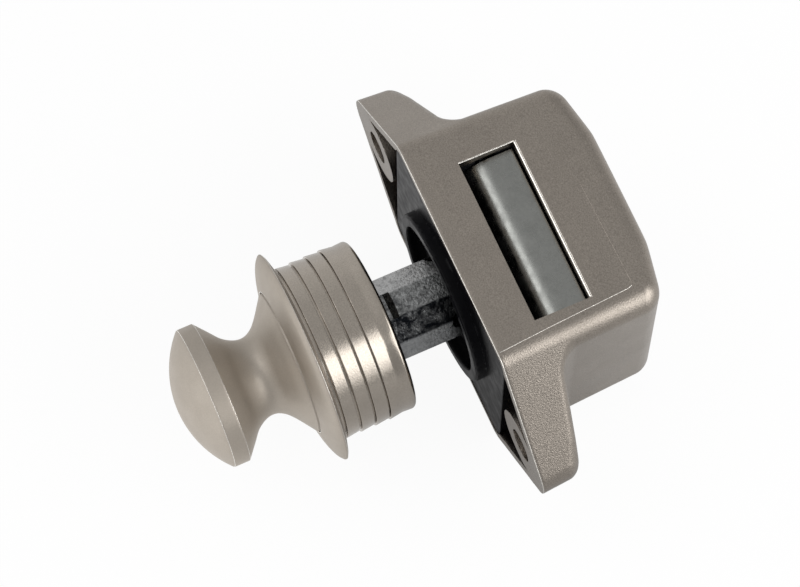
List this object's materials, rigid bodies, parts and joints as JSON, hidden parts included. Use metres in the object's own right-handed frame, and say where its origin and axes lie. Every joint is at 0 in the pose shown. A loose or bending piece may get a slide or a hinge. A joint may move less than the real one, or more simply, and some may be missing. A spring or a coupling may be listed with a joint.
{
  "type": "push button cabinet lock",
  "caption": "Push button cabinet lock: mushroom knob with barbed door rosette, ten-sided spindle and a lugged die-cast case with a sliding bolt, shown unlocked.",
  "frame": {"origin": "knob axis where it meets the face that is screwed to the door's inner side, midway between the two lug screws", "axes": "+X along the two lugs, +Y from the knob into the cabinet, +Z the way the bolt comes out"},
  "size_m": [0.0622, 0.0659, 0.034],
  "materials": {
    "case_nickel": "fine matt pearl nickel on die-cast zinc",
    "cover_black": "semi-gloss moulded black",
    "washer_black": "matt",
    "rail_acetal": "waxy natural acetal",
    "rod_steel": "drawn wire",
    "bolt_zinc": "smooth tumbled zinc",
    "pin_steel": "ground",
    "spring_steel": "bright wire",
    "spindle_zinc": "raw mottled zinc casting",
    "knob_nickel": "satin turned nickel plate",
    "rosette_nickel": "satin turned nickel plate"
  },
  "bodies": {
    "case": {"housing": "case_nickel", "front_cover": "cover_black", "stop_washer": "washer_black", "guide_rail_left": "rail_acetal", "guide_rail_right": "rail_acetal", "guide_rod_left": "rod_steel", "guide_rod_right": "rod_steel", "return_spring_left": "spring_steel", "return_spring_right": "spring_steel", "rosette": "rosette_nickel", "latch_leaf": "spring_steel", "leaf_screw": "pin_steel"},
    "push_knob": {"knob": "knob_nickel", "spindle": "spindle_zinc", "knob_pin": "pin_steel", "knob_snap_ring": "spring_steel"},
    "lock_bolt": {"bolt": "bolt_zinc", "bolt_cross_pin": "pin_steel", "track_plate": "rail_acetal"},
    "follower": {"latch_follower": "spring_steel"}
  },
  "joints": [
    {"name": "knob_push", "type": "slide", "parent": "case", "child": "push_knob", "axis": [0, 1, 0], "range_m": [0, 0.011], "stiffness_N_per_m": 1120, "springref_m": -0.004},
    {"name": "bolt_throw", "type": "slide", "parent": "case", "child": "lock_bolt", "axis": [0, 0, 1], "range_m": [0, 0.00935], "deforming": ["return_spring_left", "return_spring_right"]},
    {"name": "follower_swing", "type": "hinge", "parent": "case", "child": "follower", "pos_m": [0.0096, 0.018, 0.0113], "axis": [0, 1, 0], "range_deg": [0, 9.17]}
  ],
  "couplings": [
    {"joint": "bolt_throw", "follows": "knob_push", "ratio": 0.85},
    {"joint": "follower_swing", "follows": "knob_push", "rad_per_m": 14.312}
  ]
}
